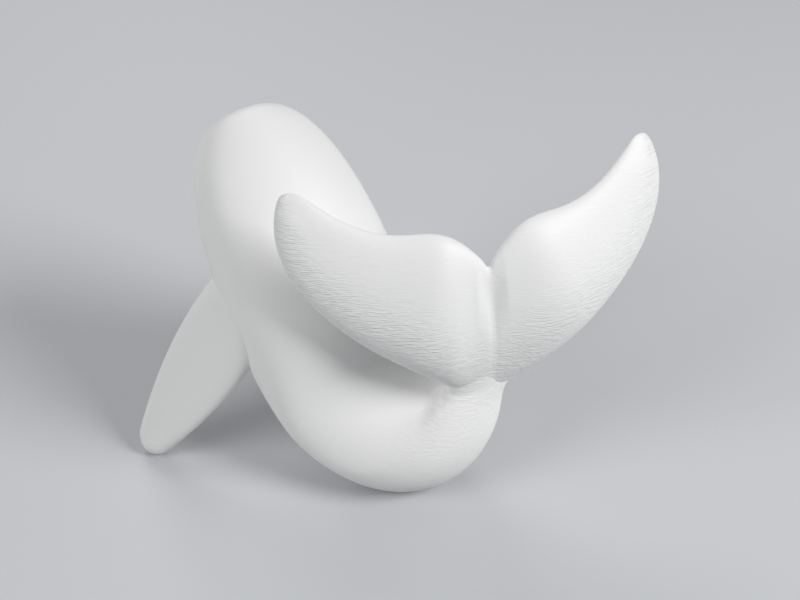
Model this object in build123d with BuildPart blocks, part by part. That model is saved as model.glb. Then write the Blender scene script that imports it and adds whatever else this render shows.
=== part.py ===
"""A sitting whale ornament: trunk raised on two flippers, tail folded up behind and swung to one side.

The frame has +Z up, the head towards -Y and the whale's left towards +X. The origin lies on the
table, in the middle of the flat under the rump.
"""

import os
from math import cos, pi, radians, sin, sqrt

from build123d import *

os.makedirs("parts", exist_ok=True)

# Trunk
trunk_width = 31.7
trunk_depth = 26.0
trunk_incline = 51.0
trunk_run = 55.0
head_length = 33.5
head_squareness = 2.15
head_bluntness = 0.356
flank_taper = 1.59
back_taper = 1.5

# Rump, where the body folds round the crook of the tail, and the tail's stock
rump_depth = 14.3
rump_bulge = 4.55
rump_run = 31.7
crook_radius = 2.7
crook_fill = 1.0
crook_ahead = 0.45
stock_lean = 7.4
stock_run = 1.2
neck_width = 13.1
neck_depth = 7.6
neck_round = 2.4
tail_swing = 16.9
swing_start = 39.8
swing_power = 2.8
tenon_length = 5.0
tenon_share = 0.55
rest_flat_depth = 0.35

# Flippers
flipper_station = 30.8
flipper_height = 0.2
flipper_sink = 3.4
flipper_heel = 7.0
flipper_heel_share = 0.8
flipper_tip_reach = 31.7
flipper_tip_ahead = 32.5
flipper_tip_height = 0.4
flipper_root_chord = 15.7
flipper_mid_chord = 13.8
flipper_tip_chord = 5.2
flipper_thickness = 6.6
flipper_thinning = 0.4
flipper_twist = -15.3

# Flukes
fluke_rake = 22.9
fluke_turn = 17.8
fluke_tilt = 6.6
fluke_overlap = 3.0
fluke_span = 30.9
fluke_rise = 30.4
fluke_notch = 24.8
fluke_tip_chord = 3.8
fluke_lobe_thickness = 10.2
fluke_tip_thickness = 3.0
fluke_tip_nose = 0.8
fluke_valley = 0.22
valley_width = 0.3
fluke_curl_out = 9.1
fluke_curl_up = 12.2
fluke_fullness = 0.35
tip_slant = 24.1
lead_root_out = 10.9
lead_root_up = 8.2
lead_tip_out = 6.4
lead_tip_drop = 13.2
trail_root_out = 9.0
trail_root_up = 9.5
trail_tip_in = 17.5
trail_tip_drop = 5.0

# Pins and eyes
dowel_diameter = 3.0
dowel_length = 12.0
tail_dowel_diameter = 2.4
tail_dowel_length = 13.0
cross_pin_diameter = 1.8
cross_pin_length = 7.0
cross_pin_gap = 1.0
pin_clearance = 0.05
eye_diameter = 2.6
eye_station = 17.0
eye_drop = 8.5
eye_depth = 3.0
eye_proud = 0.9
eye_round = 0.8

# Shares of a seven-point egg curve's control points that reach its thickness and its camber
egg_thickness = 0.615
egg_camber = 0.415

fold_turn = trunk_incline + 90 + stock_lean
fold_end = trunk_run + rump_run
neck_station = fold_end + stock_run


def ease(share):
    return share**2 * (3 - 2 * share)


def half_size(station, full, end, taper, last):
    """Half the body's width or depth: a blunt dome over the head, then an eased taper."""
    if station < head_length:
        to_crown = 1 - station / head_length
        return full / 2 * (1 - to_crown**head_squareness) ** head_bluntness
    share = min(1, (station - head_length) / (last - head_length))
    return end / 2 + (full - end) / 2 * (1 + cos(pi * share**taper)) / 2


def half_width(station):
    return half_size(station, trunk_width, neck_width, flank_taper, neck_station)


def fold_share(station):
    return min(1, max(0, (station - trunk_run) / rump_run))


def crook_gap(station):
    """Distance of the back from the axis of the crook, which is filled a little in its middle."""
    return crook_radius - crook_fill * sin(pi * fold_share(station)) ** 2


def fold_depth(station):
    """Depth of the body in the fold: an eased taper from rump to neck, bulged and filled midway."""
    share = fold_share(station)
    bulge = (rump_bulge + crook_fill) * sin(pi * share) ** 2
    return rump_depth + (neck_depth - rump_depth) * ease(share) + bulge


def half_depth(station):
    if station < trunk_run:
        return half_size(station, trunk_depth, rump_depth, back_taper, trunk_run)
    return fold_depth(station) / 2


def swing(station):
    """Sideways shift of the spine, which grows from where the tail starts to swing."""
    share = max(0, (station - swing_start) / (neck_station - swing_start))
    return -tail_swing * share**swing_power


rest_station = trunk_run + rump_run * trunk_incline / fold_turn
crook_height = crook_gap(rest_station) + fold_depth(rest_station) - rest_flat_depth


def spine_plane(station):
    """Section plane at a distance along the body.

    The planes of the trunk and the stock stand square on a straight spine. Between them they turn
    about the axis of the crook, and the spine runs midway between the back and the outer line.
    """
    angle = radians(-90 - trunk_incline + fold_turn * fold_share(station))
    run = min(0, station - trunk_run) + max(0, station - fold_end)
    radius = crook_gap(station) + fold_depth(station) / 2
    y = radius * cos(angle) - run * sin(angle) - crook_ahead
    z = radius * sin(angle) + run * cos(angle) + crook_height
    x = swing(station) - swing(rest_station)
    return Plane(origin=(x, y, z), x_dir=(1, 0, 0), z_dir=(0, -sin(angle), cos(angle)))


def ellipse_section(plane, half_x, half_y):
    with BuildSketch(plane) as section:
        Ellipse(half_x, half_y)
    return section.sketch


trunk_x = spine_plane(0).origin.X
neck_plane = spine_plane(neck_station)

# Body without its bores: lofts that meet on common sections, then a tenon that the flukes clasp
head_stations = [head_length * share for share in (0.003, 0.02, 0.07, 0.18, 0.38, 0.66, 1)]
trunk_stations = [head_length + (trunk_run - head_length) * share for share in (0.3, 0.6, 0.8, 0.92, 1)]
front_stations = [trunk_run + rump_run * share for share in (0.06, 0.14, 0.24, 0.34, 0.44, 0.52, 0.6)]
rear_stations = [trunk_run + rump_run * share for share in (0.6, 0.7, 0.8)]
stock_stations = [trunk_run + rump_run * share for share in (0.8, 0.9)] + [neck_station]


def body_sections(stations):
    return [ellipse_section(spine_plane(s), half_width(s), half_depth(s)) for s in stations]


shoulder_sections = []
for rise in (0.5, 0.8):
    shrink = sqrt(1 - rise**2)
    shoulder_plane = neck_plane.offset(neck_round * rise)
    half_x, half_y = neck_width / 2 * shrink, neck_depth / 2 * shrink
    shoulder_sections.append(ellipse_section(shoulder_plane, half_x, half_y))


with BuildPart() as body_blank:
    trunk_sections = body_sections(head_stations + trunk_stations + front_stations)
    loft(sections=[Vertex(spine_plane(0).origin)] + trunk_sections)
    loft(sections=body_sections(rear_stations))
    loft(sections=body_sections(stock_stations))
    loft(sections=body_sections([neck_station]) + shoulder_sections)
    with BuildSketch(neck_plane):
        Ellipse(tenon_share * neck_width / 2, tenon_share * neck_depth / 2)
    extrude(amount=tenon_length)
    split(bisect_by=Plane.XY, keep=Keep.TOP)


def flipper_axis(side):
    """Plane at the sunk root of a flipper, with its normal along the flipper towards the tip."""
    seat = spine_plane(flipper_station)
    sideways = half_width(flipper_station) - flipper_sink
    root = seat.from_local_coords(Vector(side * sideways, -flipper_height, 0))
    tip = Vector(trunk_x + side * flipper_tip_reach, -flipper_tip_ahead, flipper_tip_height)
    axis = (tip - root).normalized()
    level = Vector(0, 1, 0) - axis * axis.Y
    chord = level.rotate(Axis((0, 0, 0), axis), side * flipper_twist)
    return Plane(origin=root, x_dir=chord, z_dir=axis), (tip - root).length


def flipper_sections(side):
    """Ellipses from a heel in the trunk over the root to the tip.

    The chords make an eased leaf, closed by a round end.
    """
    plane, length = flipper_axis(side)
    cap = flipper_tip_chord / 2 / length
    shares = [0, 0.2, 0.4, 0.6, 0.8, 1 - cap] + [1 - cap * (1 - e) for e in (0.5, 0.8, 0.95, 0.995)]
    heel = Plane(plane.origin - Vector(side * flipper_heel, 0, 0), plane.x_dir, plane.z_dir)
    heel_chord = flipper_heel_share * flipper_root_chord
    sections = [ellipse_section(heel, heel_chord / 2, flipper_thickness / 2)]
    for share in shares:
        leaf = flipper_root_chord * (1 - share) * (1 - 2 * share)
        leaf += 4 * flipper_mid_chord * share * (1 - share) + flipper_tip_chord * share * (2 * share - 1)
        rounding = sqrt(1 - max(0, (share - 1 + cap) / cap) ** 2)
        half_chord = leaf / 2 * rounding
        half_thick = flipper_thickness / 2 * (1 - flipper_thinning * share) * rounding
        sections.append(ellipse_section(plane.offset(share * length), half_chord, half_thick))
    return sections + [Vertex(plane.offset(length).origin)]


def dowel_plane(side):
    """Middle of a flipper's dowel, where the flipper's axis leaves the flank."""
    return flipper_axis(side)[0].offset(flipper_sink)


# Frame of the flukes: x across, y up the midline from the neck, z towards the curl
chordwise = Vector(0, sin(radians(fluke_rake)), cos(radians(fluke_rake)))
across = Vector(1, 0, 0)
across = across.rotate(Axis((0, 0, 0), chordwise), -fluke_turn)
curlwise = across.cross(chordwise)
across = across.rotate(Axis((0, 0, 0), curlwise), -fluke_tilt)
fluke_plane = Plane(origin=neck_plane.origin - chordwise * fluke_overlap, x_dir=across, z_dir=curlwise)


def bezier_point(points, t):
    """Point of a cubic Bezier curve in the plane."""
    weights = ((1 - t) ** 3, 3 * (1 - t) ** 2 * t, 3 * (1 - t) * t**2, t**3)
    return tuple(sum(w * p[axis] for w, p in zip(weights, points)) for axis in (0, 1))


def curl(x, y):
    """Rise of the fluke's middle surface out of its plane, from the neck outwards and upwards."""
    up = max(0, y - fluke_overlap) / (fluke_rise - fluke_overlap)
    return fluke_curl_out * (x / fluke_span) ** 2 + fluke_curl_up * up**2


def fluke_edges(share):
    """Leading and trailing point of a section, each on a curve from the midline to the tip."""
    slant = radians(tip_slant)
    tip = (fluke_span, fluke_rise)
    tip_back = (fluke_span - fluke_tip_chord * cos(slant), fluke_rise + fluke_tip_chord * sin(slant))
    lead_out = (lead_root_out, lead_root_up)
    lead_in = (tip[0] + lead_tip_out, tip[1] - lead_tip_drop)
    lead = ((0, 0), lead_out, lead_in, tip)
    trail_out = (trail_root_out, fluke_notch + trail_root_up)
    trail_in = (tip_back[0] - trail_tip_in, tip_back[1] - trail_tip_drop)
    trail = ((0, fluke_notch), trail_out, trail_in, tip_back)
    return bezier_point(lead, share), bezier_point(trail, share)


def fluke_point(side, x, y):
    return fluke_plane.from_local_coords(Vector(side * x, y, curl(x, y)))


def fluke_section(side, share):
    """One closed egg between the two edges, full in front, with its camber from the curl.

    Six control points beside the leading point make the curve; the farthest one is set so that the
    curve's middle meets the trailing point.
    """
    (fx, fy), (bx, by) = fluke_edges(share)
    front, back = fluke_point(side, fx, fy), fluke_point(side, bx, by)
    chord = (back - front).length
    valley = 1 - fluke_valley * max(0, 1 - share / valley_width) ** 2
    thick = fluke_tip_thickness + (fluke_lobe_thickness * valley - fluke_tip_thickness) * (1 - share)
    camber = (curl(fx, fy) + curl(bx, by)) / 2 - curl((fx + bx) / 2, (fy + by) / 2)
    mean = thick / egg_thickness / 2
    shift = camber / egg_camber / 2
    outer, inner = mean + shift, mean - shift
    shoulder = fluke_fullness * chord
    far = (3.2 * chord - 1.5 * shoulder, 1.05 * (outer - inner))
    along = (back - front).normalized()
    plane = Plane(origin=front, x_dir=along, z_dir=along.cross(fluke_plane.z_dir))
    with BuildSketch(plane) as section:
        with BuildLine():
            Bezier((0, 0), (0, inner), (shoulder, inner), far, (shoulder, -outer), (0, -outer), (0, 0))
        make_face()
    return section.sketch


def make_fluke(side):
    front, back = fluke_edges(1)
    ahead = (fluke_tip_nose * sin(radians(tip_slant)), fluke_tip_nose * cos(radians(tip_slant)))
    nose = [(f + b) / 2 + a for f, b, a in zip(front, back, ahead)]
    sections = [fluke_section(side, share) for share in (0, 0.2, 0.4, 0.6, 0.8, 1)]
    with BuildPart() as fluke:
        loft(sections=sections + [Vertex(fluke_point(side, *nose))])
        add(body_blank.part, mode=Mode.SUBTRACT)
        with Locations(tail_dowel_plane.location):
            Cylinder(tail_dowel_diameter / 2 + pin_clearance, tail_dowel_length, mode=Mode.SUBTRACT)
        with Locations(cross_pin_plane.location):
            Cylinder(cross_pin_diameter / 2 + pin_clearance, cross_pin_length, mode=Mode.SUBTRACT)
    return fluke.part


# The tail dowel halves the angle between the stock and the midline of the flukes, and the cross pin
# sits beyond its end
stock_end = neck_plane.offset(tenon_length).origin
tail_dowel_plane = Plane(origin=stock_end, z_dir=neck_plane.z_dir + fluke_plane.y_dir)
dowel_top = fluke_overlap + tenon_length + tail_dowel_length / 2
cross_pin_rise = dowel_top + cross_pin_gap + cross_pin_diameter / 2
cross_pin_centre = fluke_plane.from_local_coords(Vector(0, cross_pin_rise, curl(0, cross_pin_rise)))
cross_pin_plane = Plane(origin=cross_pin_centre, z_dir=fluke_plane.x_dir)


def eye_plane(side):
    """Plane on the head's surface where an eye sits, on the belly side of the widest line."""
    wide, deep = half_width(eye_station), half_depth(eye_station)
    section = spine_plane(eye_station)
    seat = Vector(side * wide * sqrt(1 - (eye_drop / deep) ** 2), eye_drop, 0)
    outward = section.x_dir * (seat.X / wide**2) + section.y_dir * (seat.Y / deep**2)
    return Plane(origin=section.from_local_coords(seat), z_dir=outward)


with BuildPart() as body:
    add(body_blank.part)
    for side in (1, -1):
        with Locations(dowel_plane(side).location):
            Cylinder(dowel_diameter / 2 + pin_clearance, dowel_length, mode=Mode.SUBTRACT)
        with Locations(eye_plane(side).location):
            Cylinder(eye_diameter / 2 + pin_clearance, 2 * eye_depth, mode=Mode.SUBTRACT)
    with Locations(tail_dowel_plane.location):
        Cylinder(tail_dowel_diameter / 2 + pin_clearance, tail_dowel_length, mode=Mode.SUBTRACT)
body.part.label = "body"
export_step(body.part, "parts/body.step")

with BuildPart() as tail_dowel:
    with Locations(tail_dowel_plane.location):
        Cylinder(tail_dowel_diameter / 2, tail_dowel_length)
tail_dowel.part.label = "tail_dowel"
export_step(tail_dowel.part, "parts/tail_dowel.step")

with BuildPart() as cross_pin:
    with Locations(cross_pin_plane.location):
        Cylinder(cross_pin_diameter / 2, cross_pin_length)
cross_pin.part.label = "fluke_cross_pin"
export_step(cross_pin.part, "parts/fluke_cross_pin.step")

for side, name in ((1, "left"), (-1, "right")):
    with BuildPart() as flipper:
        loft(sections=flipper_sections(side))
        add(body_blank.part, mode=Mode.SUBTRACT)
        split(bisect_by=Plane.XY, keep=Keep.TOP)
        with Locations(dowel_plane(side).location):
            Cylinder(dowel_diameter / 2 + pin_clearance, dowel_length, mode=Mode.SUBTRACT)
    flipper.part.label = f"{name}_flipper"
    export_step(flipper.part, f"parts/{name}_flipper.step")

    with BuildPart() as dowel:
        with Locations(dowel_plane(side).location):
            Cylinder(dowel_diameter / 2, dowel_length)
    dowel.part.label = f"{name}_flipper_dowel"
    export_step(dowel.part, f"parts/{name}_flipper_dowel.step")

    fluke = make_fluke(side)
    fluke.label = f"{name}_fluke"
    export_step(fluke, f"parts/{name}_fluke.step")

    with BuildPart() as eye:
        with BuildSketch(eye_plane(side).offset(-eye_depth)):
            Circle(eye_diameter / 2)
        extrude(amount=eye_depth + eye_proud)
        fillet(faces().sort_by_distance(eye_plane(side).offset(eye_proud).origin)[0].edges(), eye_round)
    eye.part.label = f"{name}_eye"
    export_step(eye.part, f"parts/{name}_eye.step")
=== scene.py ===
"""Looks of a sitting whale ornament, laid out as an add-on and run as a script."""

from math import cos, pi, radians, sin

import bpy
import numpy as np
from bpy.props import FloatProperty, FloatVectorProperty, IntProperty, PointerProperty
from mathutils import Matrix, Vector


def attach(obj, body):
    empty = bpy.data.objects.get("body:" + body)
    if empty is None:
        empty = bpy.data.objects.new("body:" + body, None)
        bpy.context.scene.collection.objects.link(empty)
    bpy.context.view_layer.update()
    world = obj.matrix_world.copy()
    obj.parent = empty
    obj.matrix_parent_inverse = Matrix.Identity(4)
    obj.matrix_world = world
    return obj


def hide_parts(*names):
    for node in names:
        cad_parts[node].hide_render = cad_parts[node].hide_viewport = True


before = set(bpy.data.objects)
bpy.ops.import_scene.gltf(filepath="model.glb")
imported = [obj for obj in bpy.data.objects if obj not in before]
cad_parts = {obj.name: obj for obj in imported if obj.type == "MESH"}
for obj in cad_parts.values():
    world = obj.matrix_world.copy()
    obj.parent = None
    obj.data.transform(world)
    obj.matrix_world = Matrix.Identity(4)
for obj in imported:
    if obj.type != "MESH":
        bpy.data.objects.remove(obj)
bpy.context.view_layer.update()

bl_info = {
    "name": "Sitting whale ornament",
    "version": (1, 0, 0),
    "blender": (4, 5, 0),
    "location": "View3D > Sidebar > Whale",
    "description": "Builds the skin, fins, eyes and stage of a sitting whale ornament",
    "category": "Add Mesh",
}


def length(name, description, default):
    """A size in metres."""
    return FloatProperty(name=name, description=description, default=default, unit="LENGTH", precision=4)


def factor(name, description, default):
    """A share or a power."""
    return FloatProperty(name=name, description=description, default=default)


def degrees(name, description, default):
    """An angle, given in degrees and kept in radians."""
    return FloatProperty(name=name, description=description, default=radians(default), subtype="ANGLE")


def colour(name, description, default):
    """A colour with its alpha."""
    return FloatVectorProperty(
        name=name, description=description, default=default, size=4, min=0, max=1, subtype="COLOR"
    )


class WhaleTrunkSizes(bpy.types.PropertyGroup):
    """Sizes of the trunk, the rump round the crook of the tail, and the stock."""

    width: length("Width", "Widest part of the trunk", 0.0317)
    depth: length("Depth", "Deepest part of the trunk", 0.026)
    incline: degrees("Incline", "Rise of the trunk above the table", 51)
    run: length("Run", "Length of the straight trunk", 0.055)
    head: length("Head", "Length of the domed head", 0.0335)
    squareness: factor("Squareness", "Power of the head's dome along the spine", 2.15)
    bluntness: factor("Bluntness", "Power of the head's dome across the spine", 0.356)
    flank_taper: factor("Flank taper", "Power of the taper in width", 1.59)
    back_taper: factor("Back taper", "Power of the taper in depth", 1.5)
    rump_depth: length("Rump depth", "Depth of the body where the fold starts", 0.0143)
    rump_bulge: length("Rump bulge", "Depth that the fold adds under the rump", 0.00455)
    rump_run: length("Rump run", "Length of the fold along the spine", 0.0317)
    crook: length("Crook", "Radius of the crook between back and tail", 0.0027)
    crook_fill: length("Crook fill", "How far the crook is filled in its middle", 0.001)
    crook_ahead: length("Crook ahead", "Axis of the crook in front of the rest", 0.00045)
    lean: degrees("Lean", "Lean of the stock towards the head", 7.4)
    stock: length("Stock", "Length of the straight stock", 0.0012)
    neck_width: length("Neck width", "Width of the stock at the flukes", 0.0131)
    neck_depth: length("Neck depth", "Depth of the stock at the flukes", 0.0076)
    stock_shift: length("Stock shift", "Sideways shift of the stock under the flukes", 0.0016)
    rump_side: length("Rump side", "Swell of the rump on the side that the tail swings to", 0.0009)
    flare_run: length("Flare run", "Length of the stock inside the flukes", 0.007)
    flare: factor("Flare", "Share by which the stock widens into the flukes", 0.10)
    saddle_run: length("Saddle run", "Start of the soft saddle above the fold of the back", 0.007)
    saddle_pull: length("Saddle pull", "Pull of the saddle's curves down into the crook", 0.010)
    swing: length("Swing", "Sideways swing of the tail", 0.0169)
    swing_start: length("Swing start", "Where the swing starts along the spine", 0.0398)
    swing_power: factor("Swing power", "Growth of the swing along the spine", 2.8)
    rest_flat: length("Rest flat", "Depth of the flat under the rump", 0.00035)


class WhaleFlipperSizes(bpy.types.PropertyGroup):
    """Sizes of the two flippers."""

    station: length("Station", "Place of the root along the spine", 0.0308)
    height: length("Height", "Root above the widest line of the trunk", 0.0002)
    sink: length("Sink", "Depth of the root in the flank", 0.0034)
    heel: length("Heel", "Length of the root inside the trunk", 0.007)
    heel_share: factor("Heel share", "Share of the root's chord that the heel keeps", 0.8)
    reach: length("Reach", "Sideways reach of the tip", 0.0317)
    ahead: length("Ahead", "Tip in front of the rump", 0.0325)
    tip_height: length("Tip height", "Axis of the tip above the table", 0.0004)
    root_chord: length("Root chord", "Width at the root", 0.0157)
    mid_chord: length("Middle chord", "Width halfway", 0.0146)
    bow: length("Bow", "How far the blade bows to its leading edge halfway", 0.0004)
    tip_chord: length("Tip chord", "Width at the tip", 0.0052)
    thickness: length("Thickness", "Thickness at the root", 0.0066)
    thinning: factor("Thinning", "Share of the thickness lost at the tip", 0.4)
    twist: degrees("Twist", "Turn of the blade about its length", -15.3)


class WhaleFlukeSizes(bpy.types.PropertyGroup):
    """Sizes of the two flukes."""

    rake: degrees("Rake", "Lean of the midline away from upright", 22.9)
    turn: degrees("Turn", "Turn about the midline", 17.8)
    tilt: degrees("Tilt", "Tilt in the plane of the flukes", 6.6)
    overlap: length("Overlap", "Start of the flukes below the neck", 0.003)
    span: length("Span", "Half span to the tip", 0.0310)
    rise: length("Rise", "Height of the tip along the midline", 0.0310)
    heel: length("Heel", "Drop of the left fluke's edge beside the stock", 0.0017)
    heel_place: factor("Heel place", "Share of the span at which that drop is deepest", 0.13)
    notch: length("Notch", "Height of the notch along the midline", 0.0248)
    tip_chord: length("Tip chord", "Width at the tip", 0.0045)
    tip_nose: length("Tip nose", "Length of the round tip", 0.00093)
    tip_arc: degrees("Tip arc", "Half the angle of the arc that closes the tip", 45)
    tip_slant: degrees("Tip slant", "Slant of the tip's chord", 20)
    lobe: length("Lobe", "Thickness of the lobes", 0.0132)
    tip_thickness: length("Tip thickness", "Thickness at the tip", 0.0034)
    valley: factor("Valley", "Share of the thickness lost in the valley on the midline", 0.48)
    valley_left: factor("Valley left", "Share of the left span that the valley takes", 0.38)
    valley_right: factor("Valley right", "Share of the right span that the valley takes", 0.46)
    groove: factor("Groove", "Share of the thickness lost in the crease under the notch", 0.28)
    groove_width: factor("Groove width", "Share of the span that the crease takes", 0.1)
    notch_round: factor("Notch round", "Share of the span where the edges level off at the midline", 0.02)
    tip_round: factor("Tip round", "Share of the span over which the tip thins out", 0.07)
    curl_out: length("Curl out", "Curl of the tip from the span", 0.00915)
    curl_up: length("Curl up", "Curl of the tip from the rise", 0.0127)
    fullness: factor("Fullness", "Place of the section's shoulder along the chord", 0.35)


class WhaleFinish(bpy.types.PropertyGroup):
    """Colours, print lines and the painted shade in the grooves between print layers."""

    white: colour("White", "Printed plastic", (0.80, 0.80, 0.79, 1))
    # Painted groove shade: the colour the grooves between print layers darken towards, standing in for
    # the shade that falls in them
    shade: colour("Shade", "Darker lines between the print layers", (0.72, 0.72, 0.72, 1))
    bead: colour("Bead", "Eyes", (0.012, 0.012, 0.014, 1))
    bead_cloud: colour("Bead cloud", "Paler clouds in the eyes", (0.03, 0.03, 0.034, 1))
    wood: colour("Wood", "Pins", (0.72, 0.56, 0.38, 1))
    wood_streak: colour("Wood streak", "Darker streaks in the pins", (0.56, 0.40, 0.24, 1))
    pitch: length("Pitch", "Height of a print layer", 0.0003)
    relief: length("Relief", "Height of the print lines at full strength", 0.0003)
    # These strengths scale the print lines' bump and their painted groove shade alike
    strength: factor("Strength", "Strength of the print lines on the flukes", 0.8)
    faint: factor("Faint", "Strength of the print lines on trunk and flippers", 0.05)
    stock_share: factor("Stock share", "Share of the flukes' print lines that the stock gets", 0.55)
    stock_start: length("Stock start", "Where the stock's print lines start along the spine", 0.068)


class WhaleStage(bpy.types.PropertyGroup):
    """Floor, lamps and camera."""

    azimuth: degrees("Azimuth", "Camera's direction round the whale", 148.43)
    elevation: degrees("Elevation", "Camera's height angle", 38.4)
    roll: degrees("Roll", "Camera's roll", -3.3)
    distance: length("Distance", "Camera's distance", 0.2151)
    focal: FloatProperty(name="Focal", description="Focal length in pixels of the frame", default=1344)
    frame_width: IntProperty(name="Frame width", description="Width of the frame in pixels", default=800)
    floor: colour("Floor", "Plain pale floor", (0.56, 0.57, 0.59, 1))
    backdrop: colour("Backdrop", "Plain tone far from the whale", (0.47, 0.48, 0.50, 1))
    bounce: factor("Bounce", "Share of the floor's tone that lights the whale", 0.75)
    sky: colour("Sky", "Soft even light", (0.93, 0.96, 1.0, 1))
    sky_level: factor("Sky level", "Level of the soft even light", 0.13)


def settings(name):
    """A group of sizes or colours from the scene."""
    return getattr(bpy.context.scene, name)


def smoothstep(x, low, high):
    """Eased share of x between low and high."""
    t = np.clip((x - low) / (high - low), 0, 1)
    return t * t * (3 - 2 * t)


def unit(v):
    """Vectors of length 1 along v."""
    v = np.asarray(v, float)
    return v / np.linalg.norm(v, axis=-1, keepdims=True)


def turned(v, axis, angle):
    """v turned about a unit axis by the right-hand rule."""
    v, k = np.asarray(v, float), np.asarray(axis, float)
    return v * cos(angle) + np.cross(k, v) * sin(angle) + k * np.dot(k, v) * (1 - cos(angle))


def make_piece(name, grid, material, sharp_start=False):
    """A mesh from a grid of points, its second direction closed into rings, its ends into fans.

    The first ring can be sharp, so that its fan doesn't bend the shading of the surface.
    """
    rows, cols, _ = grid.shape
    points = grid.reshape(-1, 3)
    row = np.arange(rows - 1)[:, None] * cols
    col = np.arange(cols)[None, :]
    nxt = (col + 1) % cols
    quads = np.stack([row + col, row + nxt, row + cols + nxt, row + cols + col], -1).reshape(-1, 4)
    faces = quads.tolist()
    ring = np.arange(cols)
    for first, flip in ((0, True), ((rows - 1) * cols, False)):
        centre = len(points)
        points = np.vstack([points, points[first:first + cols].mean(0)])
        a, b = first + ring, first + (ring + 1) % cols
        fan = np.stack([b, a] if flip else [a, b], -1)
        faces += np.column_stack([fan, np.full(cols, centre)]).tolist()
    mesh = bpy.data.meshes.new(name)
    mesh.from_pydata(points.tolist(), [], faces)
    mesh.shade_smooth()
    if sharp_start:
        pairs = np.empty(len(mesh.edges) * 2, np.int32)
        mesh.edges.foreach_get("vertices", pairs)
        mesh.edges.foreach_set("use_edge_sharp", pairs.reshape(-1, 2).max(1) < cols)
    mesh.materials.append(material)
    piece = bpy.data.objects.new(name, mesh)
    bpy.context.scene.collection.objects.link(piece)
    return piece


def turn_outwards(piece):
    """Reverses the faces if the closed mesh holds a negative volume."""
    mesh = piece.data
    mesh.calc_loop_triangles()
    corners = np.empty(len(mesh.loop_triangles) * 3, np.int32)
    mesh.loop_triangles.foreach_get("vertices", corners)
    points = np.empty(len(mesh.vertices) * 3)
    mesh.vertices.foreach_get("co", points)
    a, b, c = np.moveaxis(points.reshape(-1, 3)[corners.reshape(-1, 3)], 1, 0)
    if np.einsum("ij,ij->i", a, np.cross(b, c)).sum() < 0:
        mesh.flip_normals()
    mesh.update()


def paint_strength(piece, values):
    """Strength of the print lines and of their painted groove shade at each point, as a point attribute.
    """
    layer = piece.data.attributes.new("print_and_shade_strength", "FLOAT", "POINT")
    layer.data.foreach_set("value", np.asarray(values, np.float32))


class Spine:
    """The body's spine as arrays: straight trunk, a turn about the axis of the crook, short stock."""

    def __init__(self, s):
        self.s = s
        self.turn = s.incline + pi / 2 + s.lean
        self.fold_end = s.run + s.rump_run
        self.neck = self.fold_end + s.stock
        self.rest = np.array(s.run + s.rump_run * s.incline / self.turn)
        self.crook_height = self.crook_gap(self.rest) + self.fold_depth(self.rest) - s.rest_flat

    def fold_share(self, station):
        """Share of the fold that lies before each station."""
        return np.clip((station - self.s.run) / self.s.rump_run, 0, 1)

    def crook_gap(self, station):
        """Distance of the back from the axis of the crook."""
        return self.s.crook - self.s.crook_fill * np.sin(pi * self.fold_share(station)) ** 2

    def fold_depth(self, station):
        """Depth of the body in the fold: an eased taper from rump to neck, bulged and filled midway."""
        s, share = self.s, self.fold_share(station)
        taper = s.rump_depth + (s.neck_depth - s.rump_depth) * smoothstep(share, 0, 1)
        return taper + (s.rump_bulge + s.crook_fill) * np.sin(pi * share) ** 2

    def taper(self, station, full, end, power, last):
        """Half a width: a blunt dome over the head, then an eased cosine taper."""
        s = self.s
        crown = np.clip(1 - station / s.head, 0, 1)
        dome = full / 2 * (1 - crown**s.squareness) ** s.bluntness
        share = np.clip((station - s.head) / (last - s.head), 0, 1)
        tail = end / 2 + (full - end) / 2 * (1 + np.cos(pi * share**power)) / 2
        return np.where(station < s.head, dome, tail)

    def half_width(self, station):
        """Half the width from head to neck."""
        return self.taper(station, self.s.width, self.s.neck_width, self.s.flank_taper, self.neck)

    def half_depth(self, station):
        """Half the depth: tapered along the trunk, then that of the fold."""
        s = self.s
        trunk = self.taper(station, s.depth, s.rump_depth, s.back_taper, s.run)
        return np.where(station < s.run, trunk, self.fold_depth(station) / 2)

    def swing(self, station):
        """Sideways swing of the spine, a power of the share beyond its start."""
        share = np.clip((station - self.s.swing_start) / (self.neck - self.s.swing_start), 0, None)
        return -self.s.swing * share**self.s.swing_power

    def at(self, station):
        """Centre, direction along the spine and direction to the belly at each station."""
        s = self.s
        station = np.asarray(station, float)
        angle = -pi / 2 - s.incline + self.turn * self.fold_share(station)
        run = np.minimum(0, station - s.run) + np.maximum(0, station - self.fold_end)
        radius = self.crook_gap(station) + self.fold_depth(station) / 2
        y = radius * np.cos(angle) - run * np.sin(angle) - s.crook_ahead
        z = radius * np.sin(angle) + run * np.cos(angle) + self.crook_height
        x = self.swing(station) - self.swing(self.rest)
        zero = np.zeros_like(angle)
        along = np.stack([zero, -np.sin(angle), np.cos(angle)], -1)
        belly = np.stack([zero, np.cos(angle), np.sin(angle)], -1)
        return np.stack([x, y, z], -1), along, belly

    def skin(self, station, angle):
        """Ellipse round the spine; angle 0 points to the whale's left and a quarter turn to the belly."""
        centre, _, belly = self.at(station)
        wide = self.half_width(station)[:, None, None] * np.cos(angle)[None, :, None]
        deep = self.half_depth(station)[:, None, None] * np.sin(angle)[None, :, None]
        return centre[:, None, :] + wide * np.array([1.0, 0, 0]) + deep * belly[:, None, :]


# Rings along the spine and points round each, then the easing of head, saddle, rump and stock
HEAD_ROWS, TRUNK_ROWS, FOLD_ROWS, STOCK_ROWS, TRUNK_RING = 70, 60, 150, 13, 160
CROWN_EASE = 2.6
TANGENT_STEP = 1e-5
SADDLE_REACH = 0.15
SHIFT_RUN = 0.008
SWELL_START = 0.25
STOCK_SWELL, STOCK_THINNING = 0.2, 0.3


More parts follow.
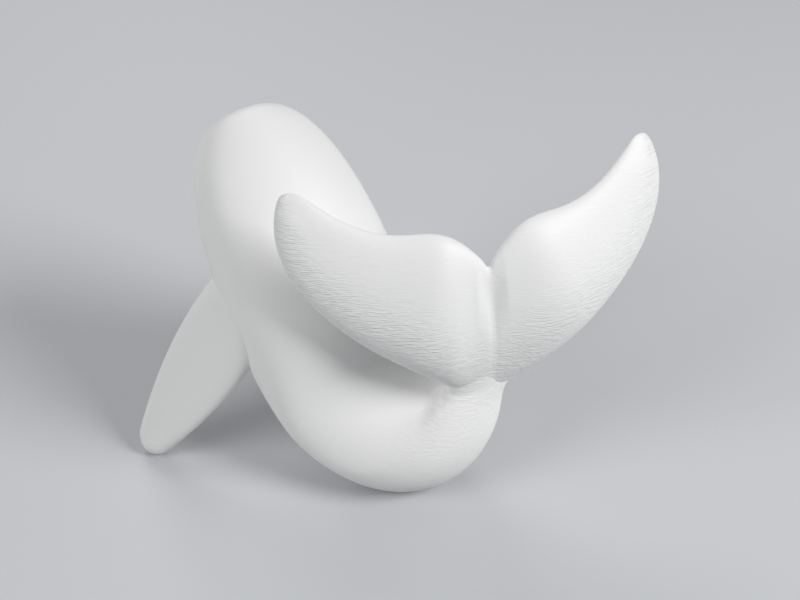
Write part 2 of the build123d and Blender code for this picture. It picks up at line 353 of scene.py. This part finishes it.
def trunk_stations(spine):
    """Places of the rings along the spine, crowded towards the crown."""
    s = spine.s
    head = s.head * np.linspace(0, 1, HEAD_ROWS)[1:] ** CROWN_EASE
    trunk = np.linspace(s.head, s.run, TRUNK_ROWS)[1:]
    fold = np.linspace(s.run, spine.neck, FOLD_ROWS)[1:]
    return np.concatenate([head, trunk, fold])


def saddle(spine, station, angle):
    """Cubic curves that carry the back from trunk to stock in a soft saddle over the crook.

    Each starts and ends on the skin, with its tangent there, and is (2t^3 - 3t^2 + 1) P0 + (t^3 -
    2t^2 + t) T0 + (3t^2 - 2t^3) P1 + (t^3 - t^2) T1.
    """
    s = spine.s
    first, last = s.run - s.saddle_run, spine.neck
    ends = spine.skin(np.array([first, last]), angle)
    before = spine.skin(np.array([first, last]) - TANGENT_STEP, angle)
    pull = unit(ends - before) * s.saddle_pull
    t = np.clip((station - first) / (last - first), 0, 1)[:, None, None]
    start = (2 * t**3 - 3 * t**2 + 1) * ends[0] + (t**3 - 2 * t**2 + t) * pull[0]
    return start + (3 * t**2 - 2 * t**3) * ends[1] + (t**3 - t**2) * pull[1]


def trunk_surface(spine, lift, turn):
    """The trunk's skin: an ellipse carried along the spine and round the crook, with a soft saddle.

    The stock shifts sideways and the rump swells on one side, by a squared sine along the fold.
    The stock runs on into the flukes, where it flares, thins, bends to their midline and turns with
    them, and the rump is cut flat at z = 0.
    """
    s = spine.s
    station = trunk_stations(spine)
    angle = np.linspace(0, 2 * pi, TRUNK_RING, endpoint=False)
    grid = spine.skin(station, angle)
    folded = station > s.run - s.saddle_run
    inner = smoothstep(-np.sin(angle), -SADDLE_REACH, 1)[None, :, None]
    grid[folded] += inner * (saddle(spine, station[folded], angle) - grid[folded])
    shift = s.stock_shift * smoothstep(station, spine.fold_end - SHIFT_RUN, spine.neck)
    grid[..., 0] += shift[:, None]
    swell_share = np.clip((spine.fold_share(station) - SWELL_START) / (1 - SWELL_START), 0, 1)
    swell = np.sin(pi * swell_share) ** 2
    grid[..., 0] -= s.rump_side * swell[:, None] * np.clip(-np.cos(angle), 0, 1) ** 2
    e = np.linspace(0, 1, STOCK_ROWS)[1:, None, None]
    _, direction, belly = spine.at(np.array([spine.neck]))
    centre = grid[-1].mean(0)
    rim = grid[-1] - centre
    deep = (rim @ belly[0])[:, None] * belly[0]
    deepening = 1 + STOCK_SWELL * e * (1 - e) - STOCK_THINNING * e**2
    flared = (rim - deep) * (1 + s.flare * e**2) + deep * deepening
    swivel = -turn * e
    level = lift * (flared @ lift)[..., None]
    flared = level + (flared - level) * np.cos(swivel) + np.cross(lift, flared) * np.sin(swivel)
    bend = direction[0] * (e - e**2 / 2) + lift * e**2 / 2
    grid = np.concatenate([grid, centre + flared + bend * s.flare_run])
    grid[..., 2] = np.maximum(grid[..., 2], 0)
    return grid, np.concatenate([station, np.full(len(e), spine.neck)])


# Rings of the blade, rings of its heel and tip, and points round each
FLIPPER_ROWS, FLIPPER_END_ROWS, FLIPPER_RING = 70, 16, 64


def flipper_surface(spine, f, side):
    """Ellipses from a heel inside the trunk, over the root and along a bowed axis to the tip.

    The heel's centres follow a cubic curve that leaves level and meets the axis. The bow and the
    chord are parabolas, the chord's through root, middle and tip chords. The thickness thins out
    evenly, and chord and thickness close in a quarter circle at the tip.
    """
    centre, _, belly = spine.at(np.array([f.station]))
    wide = spine.half_width(np.array([f.station]))[0] - f.sink
    root = centre[0] + np.array([side * wide, 0, 0]) - belly[0] * f.height
    trunk_x = spine.at(np.array([0.0]))[0][0, 0]
    tip = np.array([trunk_x + side * f.reach, -f.ahead, f.tip_height])
    reach = np.linalg.norm(tip - root)
    axis = (tip - root) / reach
    level = unit(np.array([0, 1.0, 0]) - axis * axis[1])
    chordwise = turned(level, axis, side * f.twist)
    thick_way = np.cross(axis, chordwise)
    cap = f.tip_chord / 2 / reach
    tip_end = 1 - cap + cap * np.sin(np.linspace(0, pi / 2, FLIPPER_END_ROWS))[1:-1]
    share = np.concatenate([np.linspace(0, 1 - cap, FLIPPER_ROWS), tip_end])
    leaf = f.root_chord * (1 - share) * (1 - 2 * share) + 4 * f.mid_chord * share * (1 - share)
    leaf = leaf + f.tip_chord * share * (2 * share - 1)
    rounding = np.sqrt(1 - np.clip((share - 1 + cap) / cap, 0, 1) ** 2)
    half_chord = leaf / 2 * rounding
    half_thick = f.thickness / 2 * (1 - f.thinning * share) * rounding
    angle = np.linspace(0, 2 * pi, FLIPPER_RING, endpoint=False)
    e = np.linspace(0, 1, FLIPPER_END_ROWS)[:-1]
    inward = np.array([-side * f.heel, 0, 0])
    heel = inward * (2 * e**3 - 3 * e**2 + 1 - (e**3 - 2 * e**2 + e))[:, None]
    heel = heel + axis * f.heel * (e**3 - e**2)[:, None]
    centres = root + np.concatenate([heel, (share * reach)[:, None] * axis])
    swell = f.heel_share + (1 - f.heel_share) * smoothstep(e, 0, 1)
    half_chord = np.concatenate([f.root_chord / 2 * swell, half_chord])
    half_thick = np.concatenate([np.full(len(e), f.thickness / 2), half_thick])
    bow = np.concatenate([np.zeros_like(e), 4 * f.bow * share * (1 - share)])
    grid = centres[:, None, :]
    grid = grid + (half_chord[:, None] * np.cos(angle) - bow[:, None])[..., None] * chordwise
    grid = grid + (half_thick[:, None] * np.sin(angle))[..., None] * thick_way
    grid[..., 2] = np.maximum(grid[..., 2], 0)
    return grid


def bezier(points, t):
    """Cubic Bezier curve in the plane at an array of parameters."""
    p = np.asarray(points, float)
    w = np.stack([(1 - t) ** 3, 3 * (1 - t) ** 2 * t, 3 * (1 - t) * t**2, t**3], -1)
    return w @ p


def edge(points, across, up):
    """Edge of a fluke: a cubic Bezier curve whose height has its own parameter."""
    return np.stack([bezier(points, across)[:, 0], bezier(points, up)[:, 1]], -1)


# Egg section: thickness and camber per control point, and the control point at the trailing end
EGG_THICKNESS, EGG_CAMBER = 0.615, 0.415
EGG_BACK, EGG_BACK_SHOULDER, EGG_BACK_LIFT = 3.2, 1.5, 1.05
# Inner control points of both edges, measured from the edges' ends
LEAD_ROOT = (0.0109, 0.0082)
LEAD_TIP = (0.0063, 0.0137)
TRAIL_ROOT = (0.0090, 0.0102)
TRAIL_TIP = (0.0160, 0.0076)
# Rings of a fluke, rings of its tip and points round each, then how its thickness and lines change
FLUKE_ROWS, FLUKE_END_ROWS, FLUKE_RING = 120, 14, 96
MIDLINE_EASE = 1.4
LOBE_REACH = 0.08
THIN_START = 0.76
CREASE_LOW, CREASE_HIGH = 0.5, 0.9
# Share of the chord over which the print bump and painted groove shade fade out, and by how much
PRINT_AND_SHADE_FADE_LOW, PRINT_AND_SHADE_FADE_HIGH, PRINT_AND_SHADE_FADE_LOSS = 0.2, 0.7, 0.85


def fluke_frame(spine, k):
    """Origin, across, up the midline and curl directions of the flukes."""
    chordwise = np.array([0, sin(k.rake), cos(k.rake)])
    across = turned((1.0, 0, 0), chordwise, -k.turn)
    curlwise = np.cross(across, chordwise)
    across = turned(across, curlwise, -k.tilt)
    neck = spine.at(np.array([spine.neck]))[0][0]
    return neck - chordwise * k.overlap, across, np.cross(curlwise, across), curlwise


def fluke_surface(spine, k, side):
    """Egg sections carried from the midline to the tip, and the strength of their print lines.

    Leading and trailing edge are cubic Bezier curves, and the left leading edge drops beside the
    stock. Each section is a closed seven-point Bezier curve from the leading edge over the trailing
    point and back, thick near the leading edge, and bowed by the curl of the middle surface. The
    thickness grows from a valley on the midline to the lobe and thins out to the tip, with a crease
    under the notch. The tip closes in an arc along both edges. The print lines, their bump and their
    painted groove shade, fade towards the trailing edge, where the flukes face the light, so that the
    painted shade lies mostly on their shaded leading halves.
    """
    origin, across, up, curlwise = fluke_frame(spine, k)

    def curl(x, y):
        rise = np.maximum(0, y - k.overlap) / (k.rise - k.overlap)
        return k.curl_out * (x / k.span) ** 2 + k.curl_up * rise**2

    def place(x, y):
        flat = origin + (side * x)[..., None] * across + y[..., None] * up
        return flat + curl(x, y)[..., None] * curlwise

    t = np.linspace(0, 1, FLUKE_ROWS) ** MIDLINE_EASE
    tip = np.array([k.span, k.rise])
    slant = np.array([-cos(k.tip_slant), sin(k.tip_slant)])
    tip_back = tip + slant * k.tip_chord
    level = t * (1 - np.exp(-((t / k.notch_round) ** 2)))
    lead_in = (tip[0] + LEAD_TIP[0], tip[1] - LEAD_TIP[1])
    lead = edge([(0, 0), LEAD_ROOT, lead_in, tip], t, level)
    heel = (t / k.heel_place) ** 2
    lead[:, 1] -= k.heel * (side > 0) * heel * np.exp(1 - heel)
    trail_out = (TRAIL_ROOT[0], k.notch + TRAIL_ROOT[1])
    trail_in = (tip_back[0] - TRAIL_TIP[0], tip_back[1] - TRAIL_TIP[1])
    trail = edge([(0, k.notch), trail_out, trail_in, tip_back], t, level)
    front, back = place(*lead.T), place(*trail.T)
    chord = np.linalg.norm(back - front, axis=-1)
    along = unit(back - front)
    bulge = unit(curlwise - along * (along @ curlwise)[:, None])
    valley_width = k.valley_left if side > 0 else k.valley_right
    valley = 1 - k.valley * np.clip(1 - (t / valley_width) ** 2, 0, None) ** 2
    outwards = t**2 / (t + LOBE_REACH) * (1 + LOBE_REACH)
    thick = k.tip_thickness + (k.lobe * valley - k.tip_thickness) * (1 - outwards)
    late = np.clip((t - 1 + k.tip_round) / k.tip_round, 0, 1) * THIN_START
    thick = thick * np.sqrt(1 - late**2)
    middle = (lead + trail) / 2
    camber = (curl(*lead.T) + curl(*trail.T)) / 2 - curl(*middle.T)
    mean, shift = thick / EGG_THICKNESS / 2, camber / EGG_CAMBER / 2
    outer, inner = mean + shift, mean - shift
    shoulder = k.fullness * chord
    zero = np.zeros_like(t)
    far = EGG_BACK * chord - EGG_BACK_SHOULDER * shoulder
    xs = np.stack([zero, zero, shoulder, far, shoulder, zero, zero], -1)
    ys = np.stack([zero, inner, inner, EGG_BACK_LIFT * (outer - inner), -outer, -outer, zero], -1)
    v = np.linspace(0, 1, FLUKE_RING, endpoint=False)
    binomial = np.array([1, 6, 15, 20, 15, 6, 1.0])
    power = np.arange(7)
    weights = binomial * v[:, None] ** power * (1 - v[:, None]) ** (6 - power)
    x, y = xs @ weights.T, ys @ weights.T
    chord_share = x / chord[:, None]
    high = smoothstep(chord_share, CREASE_LOW, CREASE_HIGH)
    groove = np.clip(1 - (t / k.groove_width) ** 2, 0, None) ** 2
    y = y * (1 - k.groove * groove[:, None] * high)
    grid = front[:, None, :] + x[..., None] * along[:, None, :] + y[..., None] * bulge[:, None, :]
    arc = np.linspace(1, 0, FLUKE_END_ROWS)[1:, None, None] * k.tip_arc
    rise = (np.cos(arc) - cos(k.tip_arc)) / (1 - cos(k.tip_arc))
    shrink = np.sin(arc) / sin(k.tip_arc)
    late = THIN_START + (1 - THIN_START) * rise
    thin = np.sqrt(np.clip(1 - late**2, 0, None) / (1 - THIN_START**2))
    nose = k.tip_nose * np.array([[sin(k.tip_slant)], [cos(k.tip_slant)]])
    ahead = place(*((tip + tip_back)[:, None] / 2 + nose))[0]
    centre = (front[-1] + back[-1]) / 2
    rim = grid[-1] - centre
    chordwise = (rim @ along[-1])[:, None] * along[-1]
    ends = centre + chordwise * shrink + (rim - chordwise) * thin + (ahead - centre) * rise
    # Less bump and less painted groove shade towards the lit trailing edge
    fade = 1 - PRINT_AND_SHADE_FADE_LOSS * smoothstep(chord_share, PRINT_AND_SHADE_FADE_LOW, PRINT_AND_SHADE_FADE_HIGH)
    return np.concatenate([grid, ends]), np.concatenate([fade, np.repeat(fade[-1:], len(ends), 0)])


# Scales of the noises, heights of the print rows, and surface values
LEVEL_STREAKS = 600.0
DRIFT_SCALE, DRIFT_ROWS = 220, 3.0
ROW_WAVE = 0.06
# Layer height below which the white takes on painted groove shade
WHITE_LEVEL = 0.8
PRINT_ROUGHNESS, PRINT_ROUGHNESS_RANGE, PRINT_SPECULAR = 0.42, 0.2, 0.4
BEAD_CLOUDS, BEAD_ROUGHNESS = 900, 0.18
WOOD_STREAKS, WOOD_ROUGHNESS = 700, 0.6


def new_material(name):
    """A material with its nodes, its links and its shader."""
    material = bpy.data.materials.new(name)
    material.use_nodes = True
    nodes, links = material.node_tree.nodes, material.node_tree.links
    return material, nodes, links, nodes["Principled BSDF"]


def math_node(nodes, links, operation, *values):
    """Result of a calculation with numbers and sockets."""
    node = nodes.new("ShaderNodeMath")
    node.operation = operation
    for socket, value in zip(node.inputs, values):
        if isinstance(value, (int, float)):
            socket.default_value = value
        else:
            links.new(value, socket)
    return node.outputs[0]


def noise_node(nodes, links, vector, scale, detail):
    """Cloudy value between 0 and 1."""
    node = nodes.new("ShaderNodeTexNoise")
    node.inputs["Scale"].default_value = scale
    node.inputs["Detail"].default_value = detail
    links.new(vector, node.inputs["Vector"])
    return node.outputs["Fac"]


def colour_mix(nodes, links, first, second, share):
    """Colour between two, by the value of a socket."""
    node = nodes.new("ShaderNodeMix")
    node.data_type = "RGBA"
    node.inputs["A"].default_value = first
    node.inputs["B"].default_value = second
    links.new(share, node.inputs["Factor"])
    return node.outputs["Result"]


def shader_mix(nodes, links, share, first, second):
    """Shader between two, by the value of a socket."""
    node = nodes.new("ShaderNodeMixShader")
    for value, socket in zip((share, first, second), node.inputs):
        links.new(value, socket)
    return node.outputs[0]


def print_layers_group():
    """Node group of print layers: level rows that break up into long wavy streaks, as a height."""
    group = bpy.data.node_groups.new("print_layers", "ShaderNodeTree")
    face = group.interface
    face.new_socket("Pitch", in_out="INPUT", socket_type="NodeSocketFloat")
    face.new_socket("Height", in_out="OUTPUT", socket_type="NodeSocketFloat")
    nodes, links = group.nodes, group.links
    inputs, outputs = nodes.new("NodeGroupInput"), nodes.new("NodeGroupOutput")
    where = nodes.new("ShaderNodeTexCoord")
    split = nodes.new("ShaderNodeSeparateXYZ")
    links.new(where.outputs["Object"], split.inputs[0])
    level = [math_node(nodes, links, "MULTIPLY", split.outputs[way], LEVEL_STREAKS) for way in "XY"]
    rows = math_node(nodes, links, "DIVIDE", split.outputs["Z"], inputs.outputs["Pitch"])
    drift = noise_node(nodes, links, where.outputs["Object"], DRIFT_SCALE, 2)
    row = math_node(nodes, links, "MULTIPLY_ADD", drift, DRIFT_ROWS, rows)
    join = nodes.new("ShaderNodeCombineXYZ")
    for way, value in zip("XYZ", (*level, row)):
        links.new(value, join.inputs[way])
    streak = noise_node(nodes, links, join.outputs[0], 1.0, 3)
    turns = math_node(nodes, links, "MULTIPLY", row, 2 * pi)
    wave = math_node(nodes, links, "SINE", turns)
    height = math_node(nodes, links, "MULTIPLY_ADD", wave, ROW_WAVE, streak)
    links.new(height, outputs.inputs["Height"])
    return group


def white_print_material(finish):
    """Matte white plastic with print layers and painted groove shade, their strength from a point
    attribute.
    """
    material, nodes, links, shader = new_material("white_print")
    layers = nodes.new("ShaderNodeGroup")
    layers.node_tree = print_layers_group()
    layers.inputs["Pitch"].default_value = finish.pitch
    strength = nodes.new("ShaderNodeAttribute")
    strength.attribute_name = "print_and_shade_strength"
    height = math_node(nodes, links, "MULTIPLY", layers.outputs["Height"], strength.outputs["Fac"])
    # Painted shade: where the layer height is low, in the grooves, the white darkens towards the shade
    # colour by the piece's strength
    below = math_node(nodes, links, "SUBTRACT", layers.outputs["Height"], WHITE_LEVEL)
    tone = math_node(nodes, links, "MULTIPLY_ADD", below, strength.outputs["Fac"], 1.0)
    links.new(colour_mix(nodes, links, finish.shade, finish.white, tone), shader.inputs["Base Color"])
    bump = nodes.new("ShaderNodeBump")
    bump.inputs["Distance"].default_value = finish.relief
    links.new(height, bump.inputs["Height"])
    links.new(bump.outputs["Normal"], shader.inputs["Normal"])
    rough = math_node(
        nodes, links, "MULTIPLY_ADD", layers.outputs["Height"], PRINT_ROUGHNESS_RANGE, PRINT_ROUGHNESS
    )
    links.new(rough, shader.inputs["Roughness"])
    shader.inputs["Specular IOR Level"].default_value = PRINT_SPECULAR
    return material


def bead_material(finish):
    """Glossy dark bead with a faint cloudy tone."""
    material, nodes, links, shader = new_material("eye_bead_finish")
    where = nodes.new("ShaderNodeTexCoord")
    cloud = noise_node(nodes, links, where.outputs["Object"], BEAD_CLOUDS, 2)
    tone = colour_mix(nodes, links, finish.bead, finish.bead_cloud, cloud)
    links.new(tone, shader.inputs["Base Color"])
    shader.inputs["Roughness"].default_value = BEAD_ROUGHNESS
    return material


def pin_wood_material(finish):
    """Pale dowel wood with darker streaks."""
    material, nodes, links, shader = new_material("pin_wood_finish")
    where = nodes.new("ShaderNodeTexCoord")
    streak = noise_node(nodes, links, where.outputs["Object"], WOOD_STREAKS, 4)
    tone = colour_mix(nodes, links, finish.wood_streak, finish.wood, streak)
    links.new(tone, shader.inputs["Base Color"])
    shader.inputs["Roughness"].default_value = WOOD_ROUGHNESS
    return material


def white_print():
    """The white plastic that all printed pieces share."""
    return bpy.data.materials.get("white_print") or white_print_material(settings("whale_finish"))


def settle(piece, node, strength):
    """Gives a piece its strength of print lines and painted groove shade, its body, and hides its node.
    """
    turn_outwards(piece)
    paint_strength(piece, strength)
    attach(piece, "root")
    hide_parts(node)


class WHALE_OT_trunk(bpy.types.Operator):
    """Trunk, rump and tail stock as one smooth skin"""

    bl_idname = "whale.trunk"
    bl_label = "Trunk"

    def execute(self, context):
        finish = settings("whale_finish")
        spine = Spine(settings("whale_trunk"))
        flukes = settings("whale_fluke")
        grid, station = trunk_surface(spine, fluke_frame(spine, flukes)[2], flukes.turn)
        piece = make_piece("trunk_skin", grid, white_print())
        # Strength of the print bump and painted groove shade, faint on the trunk and growing towards the
        # stock
        near_tail = finish.stock_share * smoothstep(station, finish.stock_start, spine.neck)
        rows = finish.faint + (finish.strength - finish.faint) * near_tail
        strength = np.append(np.repeat(rows, grid.shape[1]), rows[[0, -1]])
        settle(piece, "body", strength)
        return {"FINISHED"}


class WHALE_OT_flippers(bpy.types.Operator):
    """Two flippers with their tips on the table"""

    bl_idname = "whale.flippers"
    bl_label = "Flippers"

    def execute(self, context):
        finish = settings("whale_finish")
        spine = Spine(settings("whale_trunk"))
        for side, name in ((1, "left"), (-1, "right")):
            grid = flipper_surface(spine, settings("whale_flipper"), side)
            piece = make_piece(f"{name}_flipper_skin", grid, white_print())
            settle(piece, f"{name}_flipper", np.full(len(piece.data.vertices), finish.faint))
        return {"FINISHED"}


class WHALE_OT_flukes(bpy.types.Operator):
    """Two thick flukes that meet in a soft crease"""

    bl_idname = "whale.flukes"
    bl_label = "Flukes"

    def execute(self, context):
        finish = settings("whale_finish")
        spine = Spine(settings("whale_trunk"))
        for side, name in ((1, "left"), (-1, "right")):
            grid, fade = fluke_surface(spine, settings("whale_fluke"), side)
            piece = make_piece(f"{name}_fluke_skin", grid, white_print(), sharp_start=True)
            settle(piece, f"{name}_fluke", finish.strength * np.append(fade, [1, fade[-1, 0]]))
        return {"FINISHED"}


class WHALE_OT_fittings(bpy.types.Operator):
    """Finishes of the eyes and of the pins in the joints"""

    bl_idname = "whale.fittings"
    bl_label = "Eyes and pins"

    def execute(self, context):
        finish = settings("whale_finish")
        bead, wood = bead_material(finish), pin_wood_material(finish)
        for name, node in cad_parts.items():
            if name.endswith("_eye"):
                give_material(node, bead)
            elif name.endswith(("_dowel", "_pin")):
                give_material(node, wood)
        return {"FINISHED"}


def give_material(node, material):
    """Puts one material in place of those that a node has."""
    node.data.materials.clear()
    node.data.materials.append(material)


# Place, diameter and power of each lamp, then camera and floor
LAMPS = {
    "key_lamp": ((-0.33, 0.48, 0.42), 0.34, 4.4),
    "fill_lamp": ((0.60, -0.06, 0.40), 0.45, 2.3),
    "head_lamp": ((-0.15, -0.55, 0.40), 0.40, 1.2),
}
LAMP_AIM = Vector((0.0, -0.002, 0.03))
CAMERA_AIM = Vector((-0.00138, -0.00081, 0.03785))
SENSOR_WIDTH = 36
CLIP_START = 0.01
FLOOR_SIZE, FLOOR_DROP = 3.0, 2e-5
FLOOR_CLOUDS, FLOOR_CLOUD_TONE, FLOOR_ROUGHNESS = 6, -0.04, 0.6
FADE_NEAR, FADE_FAR = 0.10, 0.50


class WHALE_OT_stage(bpy.types.Operator):
    """Pale floor, soft studio lamps and the camera"""

    bl_idname = "whale.stage"
    bl_label = "Stage"

    def execute(self, context):
        stage = settings("whale_stage")
        context.scene.view_settings.view_transform = "Standard"
        make_floor(stage)
        make_world(stage)
        for name, (place, size, power) in LAMPS.items():
            area_lamp(name, place, size, power)
        make_camera(stage)
        return {"FINISHED"}


def seen_rays(nodes, links):
    """1 for rays that show the backdrop: those of the camera, mirrors and glass."""
    path = nodes.new("ShaderNodeLightPath")
    shown = path.outputs["Is Camera Ray"]
    for kind in ("Is Glossy Ray", "Is Transmission Ray"):
        shown = math_node(nodes, links, "MAXIMUM", shown, path.outputs[kind])
    return shown


def make_floor(stage):
    """A wide flat sheet at the height of the rump's flat.

    Far from the whale it fades to the plain tone of the backdrop in the rays that show it, and it
    throws less light back at the whale than the camera sees.
    """
    material, nodes, links, shader = new_material("floor_finish")
    where = nodes.new("ShaderNodeTexCoord")
    cloud = noise_node(nodes, links, where.outputs["Object"], FLOOR_CLOUDS, 2)
    seen = seen_rays(nodes, links)
    tone = math_node(nodes, links, "MULTIPLY_ADD", cloud, FLOOR_CLOUD_TONE, 1.0)
    dim = math_node(nodes, links, "MULTIPLY_ADD", seen, 1 - stage.bounce, stage.bounce)
    shared = math_node(nodes, links, "MULTIPLY", tone, dim)
    black = (0, 0, 0, 1)
    links.new(colour_mix(nodes, links, black, stage.floor, shared), shader.inputs["Base Color"])
    shader.inputs["Roughness"].default_value = FLOOR_ROUGHNESS
    far = nodes.new("ShaderNodeVectorMath")
    far.operation = "LENGTH"
    links.new(where.outputs["Object"], far.inputs[0])
    fade = nodes.new("ShaderNodeMapRange")
    fade.interpolation_type = "SMOOTHSTEP"
    fade.inputs["From Min"].default_value = FADE_NEAR
    fade.inputs["From Max"].default_value = FADE_FAR
    links.new(far.outputs["Value"], fade.inputs["Value"])
    plain_tone = nodes.new("ShaderNodeEmission")
    plain_tone.inputs["Color"].default_value = stage.backdrop
    share = math_node(nodes, links, "MULTIPLY", fade.outputs["Result"], seen)
    blend = shader_mix(nodes, links, share, shader.outputs[0], plain_tone.outputs[0])
    links.new(blend, nodes["Material Output"].inputs["Surface"])
    mesh = bpy.data.meshes.new("floor")
    square = ((-1, -1), (1, -1), (1, 1), (-1, 1))
    corners = [(x * FLOOR_SIZE, y * FLOOR_SIZE, -FLOOR_DROP) for x, y in square]
    mesh.from_pydata(corners, [], [(0, 1, 2, 3)])
    mesh.materials.append(material)
    floor = bpy.data.objects.new("floor", mesh)
    bpy.context.scene.collection.objects.link(floor)


def make_world(stage):
    """Soft even light, in place of which the camera sees the plain backdrop."""
    world = bpy.data.worlds.new("studio")
    world.use_nodes = True
    nodes, links = world.node_tree.nodes, world.node_tree.links
    soft = nodes["Background"]
    soft.inputs["Color"].default_value = stage.sky
    soft.inputs["Strength"].default_value = stage.sky_level
    seen = nodes.new("ShaderNodeBackground")
    seen.inputs["Color"].default_value = stage.backdrop
    blend = shader_mix(nodes, links, seen_rays(nodes, links), soft.outputs[0], seen.outputs[0])
    links.new(blend, nodes["World Output"].inputs["Surface"])
    bpy.context.scene.world = world


def area_lamp(name, place, size, power):
    """A round soft lamp that looks at the whale."""
    data = bpy.data.lights.new(name, "AREA")
    data.shape = "DISK"
    data.size = size
    data.energy = power
    lamp = bpy.data.objects.new(name, data)
    lamp.location = place
    lamp.rotation_euler = (LAMP_AIM - Vector(place)).to_track_quat("-Z", "Y").to_euler()
    bpy.context.scene.collection.objects.link(lamp)


def make_camera(stage):
    """Camera at the angle and distance of the view, rolled about its line of sight."""
    a, e = stage.azimuth, stage.elevation
    back = Vector((sin(a) * cos(e), -cos(a) * cos(e), sin(e)))
    right = Vector((cos(a), sin(a), 0))
    up = back.cross(right)
    x = right * cos(stage.roll) + up * sin(stage.roll)
    y = up * cos(stage.roll) - right * sin(stage.roll)
    data = bpy.data.cameras.new("camera")
    data.sensor_width = SENSOR_WIDTH
    data.lens = stage.focal / stage.frame_width * data.sensor_width
    data.clip_start = CLIP_START
    camera = bpy.data.objects.new("camera", data)
    turn = Matrix((x, y, back)).transposed().to_4x4()
    camera.matrix_world = Matrix.Translation(CAMERA_AIM + back * stage.distance) @ turn
    bpy.context.scene.collection.objects.link(camera)
    bpy.context.scene.camera = camera


class WHALE_PT_panel(bpy.types.Panel):
    """Lists the steps that build the whale"""

    bl_label = "Whale"
    bl_idname = "WHALE_PT_panel"
    bl_space_type = "VIEW_3D"
    bl_region_type = "UI"
    bl_category = "Whale"

    def draw(self, context):
        for operator in OPERATORS:
            self.layout.operator(operator.bl_idname)


GROUPS = {
    "whale_trunk": WhaleTrunkSizes,
    "whale_flipper": WhaleFlipperSizes,
    "whale_fluke": WhaleFlukeSizes,
    "whale_finish": WhaleFinish,
    "whale_stage": WhaleStage,
}
OPERATORS = (WHALE_OT_trunk, WHALE_OT_flippers, WHALE_OT_flukes, WHALE_OT_fittings, WHALE_OT_stage)


def register():
    for cls in (*GROUPS.values(), *OPERATORS, WHALE_PT_panel):
        bpy.utils.register_class(cls)
    for name, cls in GROUPS.items():
        setattr(bpy.types.Scene, name, PointerProperty(type=cls))


def unregister():
    for name in GROUPS:
        delattr(bpy.types.Scene, name)
    for cls in reversed((*GROUPS.values(), *OPERATORS, WHALE_PT_panel)):
        bpy.utils.unregister_class(cls)


def main():
    register()
    bpy.ops.whale.trunk()
    bpy.ops.whale.flippers()
    bpy.ops.whale.flukes()
    bpy.ops.whale.fittings()
    bpy.ops.whale.stage()


if __name__ == "__main__":
    main()
